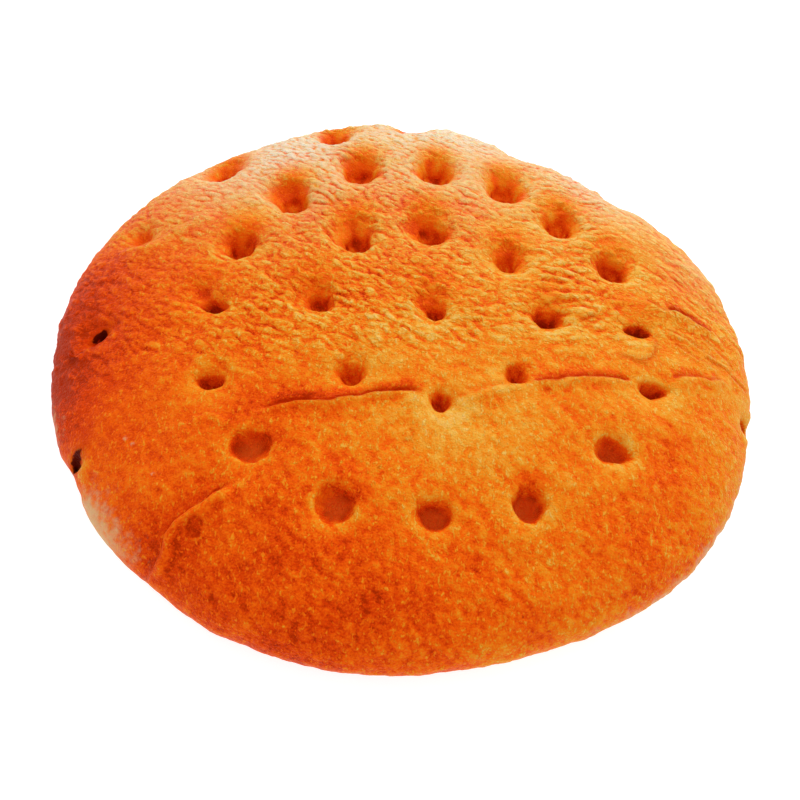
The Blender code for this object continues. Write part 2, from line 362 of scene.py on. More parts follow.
spots = points_of(loaf)
along_tears = np.zeros(len(spots), dtype=bool)
for path in tear_paths.values():
    chosen, side, share = along_path(spots, path, FINE_BAND)
    along_tears[chosen] = True
corners = np.empty(len(loaf.data.loops), dtype=int)
loaf.data.loops.foreach_get("vertex_index", corners)
starts = np.empty(len(loaf.data.polygons), dtype=int)
loaf.data.polygons.foreach_get("loop_start", starts)
select_only(loaf)
bpy.ops.object.mode_set(mode="EDIT")
bpy.ops.mesh.select_mode(type="FACE")
bpy.ops.mesh.select_all(action="DESELECT")
bpy.ops.object.mode_set(mode="OBJECT")
loaf.data.polygons.foreach_set("select", np.logical_and.reduceat(along_tears[corners], starts))
bpy.ops.object.mode_set(mode="EDIT")
bpy.ops.mesh.subdivide(number_cuts=1)
bpy.ops.object.mode_set(mode="OBJECT")
print("the skin now has", len(loaf.data.polygons), "faces")

# %% [markdown]
# How far each point lies below the loaf's convex hull says what kind of place it is: nothing on a
# crest, a few millimetres in a hollow, and close to ten at the bottom of a hole. The holes, the
# wrinkles and the colours all use this measure. Painting such a mask by hand would be slower and
# less even.

# %% How deep each point is pressed
def depth_below_hull(piece):
    hull = linked_copy(piece)
    select_only(hull)
    bpy.ops.object.mode_set(mode="EDIT")
    bpy.ops.mesh.select_all(action="SELECT")
    bpy.ops.mesh.convex_hull()
    bpy.ops.object.mode_set(mode="OBJECT")
    tree = BVHTree.FromPolygons(
        [vertex.co for vertex in hull.data.vertices],
        [polygon.vertices for polygon in hull.data.polygons],
    )
    found = [tree.find_nearest(vertex.co) for vertex in piece.data.vertices]
    bpy.data.objects.remove(hull)
    depths = np.array([hit[3] for hit in found])
    outward = np.array([hit[1] for hit in found])
    return depths, outward


spots = points_of(loaf)
pressed, outward = depth_below_hull(loaf)
print("deepest point", round(pressed.max() / MM, 1), "mm below the hull")

# %% [markdown]
# The skin itself says where the holes are: the deepest point is the bottom of one, the points near
# it are set aside, the next deepest is the bottom of another, and so on. Each hole gets its middle
# and the direction that it was pressed in, so no list of all their places is needed.

# %% Where the holes are
HOLE_FLOOR = 4.2 * MM
HOLE_WIDTH = 7 * MM
LOWEST_HOLE = 4 * MM


def distance_to_axis(spots, middle, axis):
    offset = spots - middle
    return np.linalg.norm(offset - np.outer(offset @ axis, axis), axis=1)


def find_holes(spots, pressed, outward):
    holes = []
    deep = np.flatnonzero((pressed > HOLE_FLOOR) & (spots[:, 2] > LOWEST_HOLE))
    while len(deep):
        deepest = deep[np.argmax(pressed[deep])]
        near = distance_to_axis(spots[deep], spots[deepest], outward[deepest]) < HOLE_WIDTH
        axis = outward[deep[near]].mean(axis=0)
        holes.append((spots[deep[near]].mean(axis=0), axis / np.linalg.norm(axis)))
        deep = deep[~near]
    return holes


def nearest_of(holes, spots):
    """The number of the hole nearest to each point, and how far its axis is."""
    gaps = np.array([distance_to_axis(spots, place, axis) for place, axis in holes])
    return gaps.argmin(axis=0), gaps.min(axis=0)


holes = find_holes(spots, pressed, outward)
hole_places = np.array([place for place, axis in holes])
hole_axes = np.array([axis for place, axis in holes])
nearest_hole, hole_gap = nearest_of(holes, spots)
print(len(holes), "holes, the deepest near", (hole_places[0] / MM).round(), "mm")

# %% [markdown]
# A docker's pins are all alike, but the dough isn't: some holes closed to a slit as it rose, some
# were dragged wide, and the ones at the front stayed shallow. Each of these holes is named by its
# place, with how much wider and longer it became, and what share of its depth and hollow is left.
# Turned is the bearing of its width in degrees, shift moves the hole itself in millimetres, drag
# moves only the hollow round it, and tone is how much darker than the others its inside is painted;
# at the deep slit by the right rim this darkness is painted shade.

# %% Holes with a shape of their own
HOLE_SHAPES = (
    {"at": (65.2, -5.9), "wider": 1.15, "longer": 0.6, "depth": 1.2, "hollow": 0.3, "tone": 0.25},
    {"at": (-13.0, -29.7), "wider": 1.0, "longer": 1.0, "depth": 0.65, "hollow": 1.0, "tone": -0.2},
    {"at": (10.7, -36.3), "wider": 1.0, "longer": 1.0, "depth": 0.75, "hollow": 1.0, "tone": -0.12},
    {"at": (66.8, -25.5), "wider": 1.15, "longer": 0.7, "depth": 0.8, "hollow": 0.8},
    {"at": (53.6, -45.0), "wider": 1.4, "longer": 1.0, "depth": 0.8, "hollow": 1.0},
    {"at": (32.0, -61.3), "wider": 1.0, "longer": 1.0, "depth": 0.8, "hollow": 1.0},
    {"at": (9.9, -66.0), "wider": 1.1, "longer": 0.95, "depth": 0.7, "hollow": 1.0},
    {"at": (-13.2, -64.8), "wider": 1.0, "longer": 1.0, "depth": 0.6, "hollow": 1.0},
    {"at": (-35.4, -51.4), "wider": 1.2, "longer": 1.0, "depth": 0.45, "hollow": 1.0},
    {"at": (29.5, -26.3), "wider": 1.0, "longer": 0.95, "depth": 0.6, "hollow": 0.2, "tone": -0.08},
    {"at": (-48.8, -34.0), "wider": 1.2, "longer": 0.7, "depth": 0.9, "hollow": 2.0, "drag": (1, 2)},
    {"at": (39.6, -6.2), "wider": 1.1, "longer": 0.85, "depth": 0.9, "hollow": 1.3, "tone": 0.1},
    {"at": (8.4, -7.3), "wider": 1.0, "longer": 0.75, "depth": 0.8, "hollow": 1.6, "drag": (-2, 2)},
    {"at": (-52.8, -8.8), "wider": 1.2, "longer": 0.8, "depth": 0.9, "hollow": 1.6, "drag": (-4, 3)},
    {"at": (-24.0, -6.2), "wider": 1.0, "longer": 0.9, "depth": 0.7, "hollow": 1.3, "drag": (-2, 2)},
    {"at": (-84.1, -18.0), "wider": 1.5, "longer": 0.6, "depth": 1.0, "hollow": 1.0, "turned": 46},
    {"at": (-78.0, -54.4), "wider": 0.6, "longer": 0.55, "depth": 0.5, "hollow": 0.0, "turned": 50,
     "shift": (-1.2, 0)},
    {"at": (-16.0, 18.7), "wider": 1.0, "longer": 0.9, "depth": 1.0, "hollow": 1.2, "drag": (-2, 2)},
    {"at": (-37.6, 36.2), "wider": 1.0, "longer": 1.0, "depth": 1.0, "hollow": 1.1, "drag": (-2, 2)},
    {"at": (6.3, 25.0), "wider": 1.0, "longer": 0.9, "depth": 1.0, "hollow": 1.2, "drag": (-2, 1)},
)
MOUTH_EDGE = 1.5 * MM
STRETCH_NEAR = 4.5 * MM
STRETCH_FAR = 9 * MM

hollow_share = np.ones(len(holes))
hollow_drag = np.zeros((len(holes), 3))
hole_tone = np.zeros(len(holes))
for shape in HOLE_SHAPES:
    number = np.linalg.norm(hole_places[:, :2] / MM - shape["at"], axis=1).argmin()
    mine = nearest_hole == number
    fade = 1 - smooth_step(STRETCH_NEAR, STRETCH_FAR, hole_gap[mine])
    turn = Matrix.Rotation(math.radians(shape.get("turned", 0)), 3, "Z")
    stretch = turn @ Matrix.Diagonal((shape["wider"] - 1, shape["longer"] - 1, 0)) @ turn.transposed()
    across = (spots[mine] - hole_places[number]) @ np.array(stretch)
    below = np.maximum(pressed[mine] - MOUTH_EDGE, 0) * (1 - shape["depth"])
    across[:, :2] += np.array(shape.get("shift", (0, 0))) * MM
    spots[mine] += across * fade[:, None] + below[:, None] * hole_axes[number]
    hollow_share[number] = shape["hollow"]
    hollow_drag[number, :2] = np.array(shape.get("drag", (0, 0))) * MM
    hole_tone[number] = shape.get("tone", 0)
move_points(loaf, spots)
pressed, outward = depth_below_hull(loaf)
nearest_hole, hole_gap = nearest_of(holes, spots)
print(len(HOLE_SHAPES), "holes have a shape of their own")

# %% [markdown]
# Where a pin is pushed into soft dough, the skin is dragged in with it, so a wide soft hollow lies
# round each hole. The hollows are deepest at the back of the loaf, where the dough rose most, and
# shallow at the front. The points near each hole are moved in along its axis, as a sculpting brush
# would move them, and the moves fade out smoothly. At the left edge one hole healed as the dough
# rose, and left a shallow dimple.

# %% Hollows round the holes
HOLLOW_REACH_FRONT = 6 * MM
HOLLOW_REACH_BACK = 10.5 * MM
HOLLOW_PUSH_FRONT = 0.3 * MM
HOLLOW_PUSH_BACK = 3.2 * MM
HOLLOW_FRONT_AT = -45 * MM
HOLLOW_BACK_AT = 50 * MM
HOLLOW_BEHIND = 2.5 * MM
HOLLOW_LEAN = 0.5
HOLLOW_UNEVEN = 0.3
HOLLOW_LUMP = 9 * MM
FLOOR_START = 3 * MM
FLOOR_FULL = 8 * MM
HEALED_HOLE = Vector((-83.0, 21.5, 20.3)) * MM
HEALED_REACH = 8 * MM
HEALED_PUSH = 1.0 * MM

hole_backness = smooth_step(HOLLOW_FRONT_AT, HOLLOW_BACK_AT, hole_places[:, 1])
uneven = 1 + HOLLOW_UNEVEN * noise_at(spots, HOLLOW_LUMP)
above_floor = 1 - smooth_step(FLOOR_START, FLOOR_FULL, pressed)
hollow = np.zeros(len(spots))
moved = np.zeros(spots.shape)
hollow_middles = hole_places + hollow_drag
hollow_middles[:, 1] += HOLLOW_BEHIND * hole_backness
for middle, axis, backness, share in zip(hollow_middles, hole_axes, hole_backness, hollow_share):
    reach = blend(HOLLOW_REACH_FRONT, HOLLOW_REACH_BACK, backness)
    push = share * blend(HOLLOW_PUSH_FRONT, HOLLOW_PUSH_BACK, backness)
    gap = distance_to_axis(spots, middle, axis)
    dent = push * (1 - np.clip(gap / (reach * uneven), 0, 1) ** 2) ** 2
    dent *= above_floor
    moved -= np.outer(dent, axis)
    moved[:, 1] += HOLLOW_LEAN * dent
    hollow += dent
healed_gap = np.linalg.norm(spots - np.array(HEALED_HOLE), axis=1) / HEALED_REACH
healed = (1 - np.clip(healed_gap, 0, 1) ** 2) ** 2
hollow += HEALED_PUSH * healed
moved -= HEALED_PUSH * healed[:, None] * outward
spots += moved
sunk = pressed + hollow
print("the hollows are up to", (hollow.max() / MM).round(1), "mm deep")

# %% [markdown]
# The dragged skin is drawn into fine folds that run down into each hole. A noise read only by the
# direction from the hole's middle is the same from rim to floor, so it gives just such lines. Each
# hole reads it at a place of its own, so that no two holes have the same folds.

# %% Drag lines
DRAG_LINES = 2.4
DRAG_HEIGHT = 0.45 * MM
DRAG_APART = 5
IN_HOLLOW = (0.6 * MM, 2.5 * MM)

offset = spots - hole_places[nearest_hole]
bearings = offset / np.linalg.norm(offset, axis=1)[:, None]
drag = noise_at(DRAG_LINES * bearings + DRAG_APART * nearest_hole[:, None], 1)
spots += (DRAG_HEIGHT * drag * smooth_step(*IN_HOLLOW, sunk))[:, None] * outward
move_points(loaf, spots)
print("drag lines from", drag.min().round(2), "to", drag.max().round(2))

# %% [markdown]
# A pin leaves a sharp floor, but rising dough rounds it to a bowl. A smooth modifier limited to the
# inside of the holes does that, and leaves each mouth as it is.

# %% Rounded floors
INSIDE_HOLE = (1.6 * MM, 3.2 * MM)
ROUNDINGS = 16

inside = paint_group(loaf, "inside_holes", smooth_step(*INSIDE_HOLE, sunk))
apply_modifier(loaf, "SMOOTH", factor=0.5, iterations=ROUNDINGS, vertex_group=inside)
raised = points_of(loaf)[:, 2] - spots[:, 2]
print("the floors were raised by up to", (raised.max() / MM).round(1), "mm")
spots = points_of(loaf)

# %% [markdown]
# No two holes have the same mouth: dough drags and springs back unevenly. The skin is shifted
# sideways by a smooth random amount, most near the holes, so each mouth gets its own outline. A
# smooth random shift is better than dents in each hole, because the walls move with the mouth. The
# seed is set first, because without one each run would give other mouths.

# %% Uneven mouths
MOUTH_LUMP = 4.5 * MM
MOUTH_SHIFT = 0.7 * MM
MOUTH_SEED = 5
BESIDE_HOLE = (4 * MM, 12 * MM)

noise.seed_set(MOUTH_SEED)
near_hole = 1 - smooth_step(*BESIDE_HOLE, hole_gap)
shift = np.array([noise.noise_vector(Vector(place)) for place in spots / MOUTH_LUMP])
shift[:, 2] = 0
shift *= (near_hole * MOUTH_SHIFT)[:, None]
spots += shift
move_points(loaf, spots)
print("the mouths moved by up to", (np.linalg.norm(shift, axis=1).max() / MM).round(2), "mm")

# %% [markdown]
# Dough wrinkles as it dries in the oven, and each region wrinkles its own way. A cloud texture read
# through a turned and stretched empty gives streaks of a chosen spacing, length and bearing, and a
# vertex group says where they go. Sculpting each wrinkle by hand would give the same look, slowly.

# %% Relief helper
def add_relief(piece, name, spacing, length, bearing, height, group, settings):
    """Raises and lowers the skin by streaks this far apart and this long, in metres."""
    texture = bpy.data.textures.new(name, "CLOUDS")
    texture.noise_scale = 1.0
    for setting, value in settings.items():
        setattr(texture, setting, value)
    grain = bpy.data.objects.new(name, None)
    bpy.context.scene.collection.objects.link(grain)
    grain.scale = (length, spacing, spacing)
    grain.rotation_euler = (0, 0, math.radians(bearing))
    grain.location = (3 * length, 5 * spacing, 0)
    bpy.context.view_layer.update()
    apply_modifier(
        piece,
        "DISPLACE",
        texture=texture,
        texture_coords="OBJECT",
        texture_coords_object=grain,
        strength=height,
        mid_level=0.5,
        vertex_group=group,
    )
    bpy.data.objects.remove(grain)


# %% [markdown]
# The wide lumps come first and the finest wrinkles last, as they do in the oven: dough swells, then
# its skin buckles. The back of the loaf, which rose most, is folded all over, and its right rim was
# pulled into long creases. The front stayed tight and has only a fine grain. One relief over the
# whole top would be shorter to write, but it would make every region look the same.

# %% Wrinkles and lumps
ABOVE_BASE = (0.5 * MM, 4 * MM)
ON_TOP = (2 * MM, 8 * MM)
CALM_DEPTH = (0.9 * MM, 3.0 * MM)
CALMED = 0.65
LEFT_EDGE = (-70 * MM, -20 * MM)
LEFT_SHARE = 0.65
BEHIND_TEAR = (-34 * MM, -10 * MM)
TEAR_SLANT = 0.15
TO_RIGHT = (5 * MM, 45 * MM)
NEAR_RIM = (55 * MM, 78 * MM)
FOLDED = {"noise_type": "HARD_NOISE", "noise_depth": 1}
RELIEFS = (
    # name, spacing, length, bearing, height, where it goes, settings of the texture
    ("broad lumps", 26, 34, 20, 1.6, "everywhere", {}),
    ("swells", 11, 15, -30, 1.2, "whole_top", {}),
    ("left puckers", 3.2, 6.5, -32, 0.95, "back_left", FOLDED),
    ("right puckers", 3.4, 8.5, 4, 1.2, "back_right", FOLDED),
    ("rim puckers", 4.5, 12, -32, 0.9, "right_rim", FOLDED),
    ("left wrinkles", 2.0, 4.5, -26, 0.75, "back_left", FOLDED),
    ("right wrinkles", 2.1, 5.0, 8, 0.8, "back_right", FOLDED),
    ("rim wrinkles", 2.5, 7, -30, 0.45, "right_rim", FOLDED),
    ("front puckers", 3.0, 5, -42, 0.6, "front_skin", {"noise_depth": 3}),
    ("front grain", 1.7, 2.4, -40, 0.4, "front_skin", {}),
)

calm = smooth_step(*CALM_DEPTH, sunk)
behind_tear = smooth_step(*BEHIND_TEAR, spots[:, 1] - TEAR_SLANT * spots[:, 0])
to_right = smooth_step(*TO_RIGHT, spots[:, 0])
near_rim = smooth_step(*NEAR_RIM, spots[:, 0])
open_skin = (1 - CALMED * calm) * blend(LEFT_SHARE, 1, smooth_step(*LEFT_EDGE, spots[:, 0]))
open_top = smooth_step(*ON_TOP, spots[:, 2]) * open_skin
REGIONS = {
    "everywhere": smooth_step(*ABOVE_BASE, spots[:, 2]),
    "whole_top": open_top,
    "back_left": open_top * behind_tear * (1 - to_right),
    "back_right": open_top * behind_tear * to_right * (1 - near_rim),
    "right_rim": open_top * behind_tear * near_rim,
    "front_skin": open_top * (1 - behind_tear),
}
for region, weights in REGIONS.items():
    paint_group(loaf, region, weights)
for name, spacing, length, bearing, height, region, settings in RELIEFS:
    add_relief(loaf, name, spacing * MM, length * MM, bearing, height * MM, region, settings)
print("the relief moved points by up to",
      (np.linalg.norm(points_of(loaf) - spots, axis=1).max() / MM).round(1), "mm")

# %% [markdown]
# Now the tears are cut. Beside the line the skin is pushed in, and on one side the lip is pulled
# up, each with a smooth bell-shaped profile. The line wanders a little, because dough never tears
# straight, and both ends fade out. The line and a band on its side away from the lip are darkened
# as painted shade.

# %% Cut the tears
CUT_WIDTH = 0.6 * MM
CREASE_SHADE_WIDTH = 0.95 * MM
SHADE_BAND_FROM = 1.2 * MM
SHADE_BAND_WIDTH = 1.6 * MM
WANDER = 0.45 * MM
WANDER_LENGTH = 3 * MM
TEAR_REACH = 8 * MM
TEAR_ENDS = 0.12

spots = points_of(loaf)
crease_shade_line = np.zeros(len(spots))
shade_band = np.zeros(len(spots))
for name, tear in TEARS.items():
    chosen, side, share = along_path(spots, tear_paths[name], TEAR_REACH)
    side = side + WANDER * noise_at(spots[chosen], WANDER_LENGTH)
    ends = smooth_step(0, TEAR_ENDS, share) * (1 - smooth_step(1 - TEAR_ENDS, 1, share))
    lip_width = tear["lip_width"] * MM
    lip = tear["lip"] * MM * np.exp(-((side * tear["lip_side"] - lip_width) / lip_width) ** 2)
    cut = tear["cut"] * MM * np.exp(-(side / CUT_WIDTH) ** 2)
    spots[chosen] += (ends * (lip - cut))[:, None] * outward[chosen]
    # Painted shade: the line along the cut and a band on its side away from the lip are darkened.
    line = tear["crease_shade"] * ends * np.exp(-(side / CREASE_SHADE_WIDTH) ** 2)
    past_line = -side * tear["lip_side"] - SHADE_BAND_FROM
    beyond = tear["crease_shade"] * ends * np.exp(-(past_line / SHADE_BAND_WIDTH) ** 2)
    crease_shade_line[chosen] = np.maximum(crease_shade_line[chosen], line)
    shade_band[chosen] = np.maximum(shade_band[chosen], beyond)
move_points(loaf, spots)
print(np.count_nonzero(crease_shade_line > 0.5), "points lie in the dark of a tear")

# %% [markdown]
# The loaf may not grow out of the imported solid's box, so it is measured and drawn in by the small
# share that the relief added. The points under the base are set flat again, because it rests on them.

# %% Back into the box
low = np.array(cad_box[0])
high = np.array(cad_box[1])
middle = (low + high) / 2
middle[2] = 0
grown = np.maximum(spots.max(axis=0) - middle, middle - spots.min(axis=0))
room = (high - middle) / grown
spots = middle + (spots - middle) * np.minimum(room, 1)
spots[:, 2] = np.maximum(spots[:, 2], 0)
move_points(loaf, spots)
print("the loaf was drawn in by", (100 * (1 - np.minimum(room, 1))).round(2), "per cent")

# %% [markdown]
# The colours of a crust follow its shape. What stands up dries and pales, and is painted paler still
# as a painted highlight of the lamp behind, and the troughs are painted darker as painted shade.
# What lies in a hollow keeps a smooth skin and is painted one deeper orange as painted shade. So the
# shape is written on the skin as attributes, one number for each point, which the material reads.
# The first is crest: how far a point stands above the skin around it, measured against a smoothed
# copy.

# %% Crests and calm places
CREST_SCALE = 0.25 * MM
CREST_SMOOTHINGS = 16
CREST_CALMED = 0.6
CRINKLED_FRONT = 0.25


def write_attribute(piece, name, values):
    attribute = piece.data.attributes.new(name, "FLOAT", "POINT")
    attribute.data.foreach_set("value", np.ascontiguousarray(values, dtype=np.float32))
    print(name, "from", values.min().round(2), "to", values.max().round(2), "mean", values.mean().round(2))


smoothed = linked_copy(loaf)
apply_modifier(smoothed, "SMOOTH", factor=0.5, iterations=CREST_SMOOTHINGS)
above = ((points_of(loaf) - points_of(smoothed)) * normals_of(smoothed)).sum(axis=1)
bpy.data.objects.remove(smoothed)
crest = np.clip(above / CREST_SCALE, -1, 1) * (1 - CREST_CALMED * calm)
write_attribute(loaf, "wrinkled", open_top * blend(CRINKLED_FRONT, 1, behind_tear))

# %% [markdown]
# An oven bakes unevenly. Each round patch here is a place in millimetres, a radius, and how much
# darker or paler it is painted than the rest: some are real patches of browning, while the darker
# front and left edges, which turn away from the lamp, are painted shade and the paler back is a
# painted highlight of the lamp behind. Inside each hollow the skin is painted one deep orange as
# painted shade, most on the far side of each hole, which faces away from the lamp, and most at the
# back, and the hole floors a little darker still. The near lip, which stands up to the lamp, is
# painted lighter as a painted highlight. The left flank baked hard and even, so its skin is less
# mottled. A painted mask would do, but a list is easier to tune.

# %% How far each place is baked, with painted shade and highlights
BROWN_BASE = 0.58
# Painted shade: the inside of each hollow and the hole floors are painted a deeper orange.
HOLLOW_SHADE_FRONT = 0.80
HOLLOW_SHADE_BACK = 0.64
FLOOR_SHADE = 0.10
DRAWN_BEHIND = 6.5
DRAWN_WIDTH = 7.5
DRAWN_LENGTH = 8.5
DRAWN_SHARE = 0.8
DRAG_BROWN = -0.35
LIP_GAP = 6 * MM
LIP_WIDTH = 2.2 * MM
# Painted highlight: the near lip of each hole, which faces the lamp, is painted paler.
NEAR_LIP_HIGHLIGHT = -0.10
FAR_SIDE = (-4 * MM, 5 * MM)
FLOOR_DEPTH = (3.0 * MM, 5.5 * MM)
DRAWN_BACKNESS = (0.1, 0.5)
EVEN_FLANK = (-98, -15, 34)
EVENED_BY = {"calm": 0.35, "drawn": 0.3, "flank": 0.5}
CREST_DRAWN = 0.6
# Besides real browning, these patches hold painted shade on the front and left edges and a painted
# highlight at the back.
BROWNING_AND_SHADE = (
    (-100, -12, 33, 0.42),
    (-92, -42, 22, 0.22),
    (-25, -99, 40, 0.30),
    (-62, -84, 22, 0.05),
    (92, -26, 20, -0.10),
    (8, 14, 16, 0.05),
    (-60, -60, 36, 0.06),
    (0, 105, 50, -0.30),
    (-62, 62, 36, -0.14),
    (52, 40, 45, -0.12),
    (-14, 8, 30, 0.08),
    (5, -24, 26, -0.08),
    (60, -22, 24, -0.07),
    (12, -48, 18, -0.16),
    (42, -48, 14, -0.06),
    (-45.1, -72.3, 1.6, 0.15),
    (38, -75, 18, 0.05),
    (-83, 21.5, 7, -0.10),
    (70, -62, 30, 0.08),
    (32, -57.5, 3.5, 0.30),
    (20, -46, 7, -0.08),
    (74, 4, 7, -0.08),
    (66, -10, 5, 0.10),
    (65.2, -5.9, 2.4, 0.45),
    (-8.0, -63.5, 2.5, 0.30),
    (-12, -59.0, 3, 0.20),
    (-31.5, -49.0, 1.6, 0.30),
    (8, -38, 7, -0.04),
    (30, -34, 6, -0.10),
)


def round_patch(x, y, radius):
    """One in the middle of a round patch, and fading to nothing beyond its radius."""
    away = np.linalg.norm(spots[:, :2] / MM - (x, y), axis=1)
    return np.exp(-(away / radius) ** 2)


browned_and_shade = np.full(len(spots), BROWN_BASE)
for x, y, radius, amount in BROWNING_AND_SHADE:
    browned_and_shade += amount * round_patch(x, y, radius)
far_side = smooth_step(*FAR_SIDE, spots[:, 1] - hole_places[nearest_hole, 1])
lip = np.exp(-((hole_gap - LIP_GAP) / LIP_WIDTH) ** 2)
browned_and_shade += NEAR_LIP_HIGHLIGHT * lip * (1 - far_side)
backness = hole_backness[nearest_hole]
hollow_shade = blend(HOLLOW_SHADE_FRONT, HOLLOW_SHADE_BACK, backness)
# Painted shade on the far wall of each hollow, which faces away from the lamp.
drawn = np.zeros(len(spots))
for place, share in zip(hollow_middles, hole_backness):
    across = (spots[:, 0] - place[0]) / (DRAWN_WIDTH * MM)
    behind = (spots[:, 1] - place[1] - DRAWN_BEHIND * MM) / (DRAWN_LENGTH * MM)
    patch = smooth_step(*DRAWN_BACKNESS, share) * np.exp(-across ** 2 - behind ** 2)
    drawn = np.maximum(drawn, patch)
browned_and_shade += (hollow_shade - browned_and_shade) * DRAWN_SHARE * drawn
crest *= 1 - CREST_DRAWN * drawn
rough_skin = (1 - EVENED_BY["calm"] * calm) * (1 - EVENED_BY["drawn"] * drawn)
rough_skin *= 1 - EVENED_BY["flank"] * round_patch(*EVEN_FLANK)
inside_tone_and_shade = hollow_shade + hole_tone[nearest_hole] + DRAG_BROWN * drag
browned_and_shade += (inside_tone_and_shade - browned_and_shade) * calm
browned_and_shade += FLOOR_SHADE * smooth_step(*FLOOR_DEPTH, sunk)
write_attribute(loaf, "crest", crest)
write_attribute(loaf, "rough_skin", rough_skin)
write_attribute(loaf, "browned_and_shade", browned_and_shade)
write_attribute(loaf, "tear_shade_band", shade_band)

# %% [markdown]
# A few things are told apart from the baking. The floors of the shallow front holes stayed doughy.
# A few specks of caught flour burnt black. Two deep slits at the left edge are painted black with a
# dark red ring round them, partly char and partly painted shade of their insides. The flank under
# the belt never saw the heat, so it kept its flour, which ends in ragged streaks, and at the front
# left and right, where the edge turns to the light, this pale band is also a painted rim highlight.
# The raised skin at the back is painted cream as a painted sheen of the lamp behind. Each is a mask
# of its own, because one scale of browning from pale to dark can't hold colours as unlike as these.

# %% Dough, burns, flour and painted sheen
# The two slits are painted black with a dark red ring: partly char, partly painted shade of their deep
# insides.
SLITS_CHAR_AND_SHADE = ((-84.6, -16.6, 46, 2.6, 0.9), (-80.5, -54.0, 60, 2.8, 1.5))
SPECKS = (
    (-76.2, -25.2, 0.8), (-39.6, -4.0, 0.6), (-44.2, -20.5, 0.6), (-23.3, -15.7, 0.6),
    (16.4, -49.6, 0.6), (60.1, -41.7, 0.6), (18.2, -76.4, 0.6), (20.2, -77.2, 0.6),
    (33.5, -85.0, 0.6), (30.8, -86.6, 0.5), (51.7, 18.0, 0.6), (47.9, 13.3, 0.6),
    (17.2, 6.6, 0.6), (-27.5, -87.3, 0.6), (-42.3, -87.2, 0.6), (26.8, 2.2, 0.5),
)
FLOUR_FLECKS = ((-67.1, -50.3, 0.7), (-65.2, -51.7, 0.6), (-57.7, -59.7, 0.6))
# The pale band at the front left and right is partly flour and partly a painted rim highlight; at the back
# it is flour.
PALE_FLANKS_AND_RIM_LIGHT = ((218, 14, 0.95, 20), (322, 24, 0.7, 16), (90, 60, 0.5, 16))
# Painted sheen: cream painted on the crests at the back for the light of the lamp behind.
PAINTED_SHEENS = ((-46, 74, 34, 1.1), (10, 98, 44, 1.15), (66, 72, 26, 0.9), (92, 30, 16, 0.2))
DOUGH_SHARE = 0.85
DOUGH_DEPTH = (2.5 * MM, 6 * MM)
FRONT_ENDS = (-50 * MM, -30 * MM)
PAINTED_SHEEN_CREST = (-0.9, 0.5)
BURN_RAGGED = 0.8
BURN_CRUMB = 0.9 * MM
SCORCH_SPREAD = 1.7
SCORCH_SHARE = 0.8
SPECK_BURN = 0.55
FLECK_FLOUR = 0.9
FLANK_FADE = 8
SLOT_CLEAR = (-80, -54, 12)

at_front = 1 - smooth_step(*FRONT_ENDS, spots[:, 1])
doughy = DOUGH_SHARE * smooth_step(*DOUGH_DEPTH, sunk) * at_front
# This mask holds the burnt specks and the slits' black, which is partly painted shade.
burnt_and_shaded = np.zeros(len(spots))
scorched_and_shaded = np.zeros(len(spots))
for x, y, bearing, half_length, half_width in SLITS_CHAR_AND_SHADE:
    along = Vector((math.cos(math.radians(bearing)), math.sin(math.radians(bearing))))
    offset = spots[:, :2] / MM - (x, y)
    lengthwise = offset @ along
    crosswise = offset @ along.orthogonal()
    away = (lengthwise / half_length) ** 2 + (crosswise / half_width) ** 2
    burnt_and_shaded += np.exp(-away)
    scorched_and_shaded = np.maximum(scorched_and_shaded, np.exp(-away / SCORCH_SPREAD ** 2))
for x, y, radius in SPECKS:
    burnt_and_shaded += SPECK_BURN * round_patch(x, y, radius)
# This mask holds flour, and on the front left and right flanks a painted rim highlight.
floury_and_rim_lit = np.zeros(len(spots))
round_the_edge = np.degrees(np.arctan2(spots[:, 1], spots[:, 0])) % 360
for bearing, half_width, amount, top in PALE_FLANKS_AND_RIM_LIGHT:
    below_top = 1 - smooth_step((top - FLANK_FADE) * MM, top * MM, spots[:, 2])
    floury_and_rim_lit += amount * below_top * np.exp(-((round_the_edge - bearing) / half_width) ** 2)
for x, y, radius in FLOUR_FLECKS:
    floury_and_rim_lit += FLECK_FLOUR * round_patch(x, y, radius)
floury_and_rim_lit *= 1 - round_patch(*SLOT_CLEAR)
# The painted sheen keeps off the hollows and their far walls, which face away from the lamp.
painted_sheen = np.zeros(len(spots))
for x, y, radius, amount in PAINTED_SHEENS:
    painted_sheen = np.maximum(painted_sheen, amount * round_patch(x, y, radius))
painted_sheen = np.minimum(painted_sheen, 1) * (1 - calm) * (1 - drawn) ** 2 * smooth_step(*PAINTED_SHEEN_CREST, crest)
write_attribute(loaf, "painted_sheen", painted_sheen)
# The tear mask is painted shade in the creases, and the ring round the slits, partly scorch and partly
# painted shade.
write_attribute(loaf, "tear", np.maximum(crease_shade_line, SCORCH_SHARE * scorched_and_shaded))
write_attribute(loaf, "doughy", doughy)
ragged_char_and_shade = np.clip(burnt_and_shaded, 0, 1) + burnt_and_shaded * BURN_RAGGED * noise_at(spots, BURN_CRUMB)
write_attribute(loaf, "burnt_and_shaded", ragged_char_and_shade)
write_attribute(loaf, "floury_and_rim_lit", np.clip(floury_and_rim_lit, 0, 1))

# %% [markdown]
# The skin is brought down to 196,000 triangles. The library takes up to 200,000 triangles a piece.
# The decimate modifier takes out the points that change the shape least, which are on the smooth
# front of the loaf, and the attributes stay. It can push a point out by a hair, so the points are
# held in the box once more.

# %% Within the limit
MOST_TRIANGLES = 196000


def count_triangles(piece):
    return sum(len(polygon.vertices) - 2 for polygon in piece.data.polygons)


apply_modifier(loaf, "DECIMATE", decimate_type="COLLAPSE", ratio=MOST_TRIANGLES / count_triangles(loaf))
move_points(loaf, np.clip(points_of(loaf), low, high))
print("the loaf has", count_triangles(loaf), "triangles")

